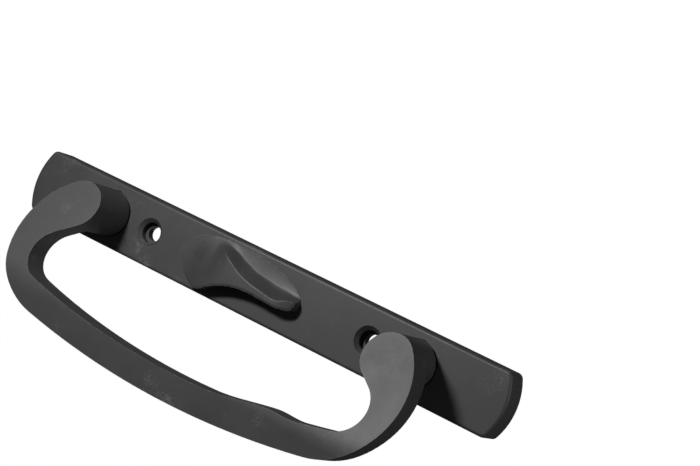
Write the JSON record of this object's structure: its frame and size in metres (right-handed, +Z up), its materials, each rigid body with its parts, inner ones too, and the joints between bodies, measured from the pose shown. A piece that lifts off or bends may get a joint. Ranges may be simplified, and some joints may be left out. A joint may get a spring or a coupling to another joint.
{
  "type": "sliding patio door handle",
  "caption": "Offset pull handle for a sliding patio door on a long screw-on plate, with a thumb-turn lever that works the latch through a flat tailpiece.",
  "frame": {"origin": "on the door's face, in the middle between the plate's two mounting holes", "axes": "+Z up the door, +X across the door away from the grip, +Y into the door; the side for the hand faces -Y"},
  "size_m": [0.0591, 0.082, 0.214],
  "materials": {
    "satin_black": "satin black powder coat with scuffs",
    "bushing_black": "plain moulded",
    "plated_steel": "zinc plated"
  },
  "bodies": {
    "handle": {"back_plate": "satin_black", "pull_grip": "satin_black", "pivot_bushing": "bushing_black", "spring_washer": "plated_steel", "grip_screws": "plated_steel", "lock_washers": "plated_steel"},
    "lever": {"thumb_turn": "satin_black", "stop_washer": "plated_steel", "retaining_clip": "plated_steel", "tailpiece": "plated_steel", "tailpiece_pin": "plated_steel"}
  },
  "joints": [
    {"name": "lever_turn", "type": "hinge", "parent": "handle", "child": "lever", "pos_m": [0, -0.007, 0.016], "axis": [0, 1, 0], "range_deg": [0, 90]}
  ]
}
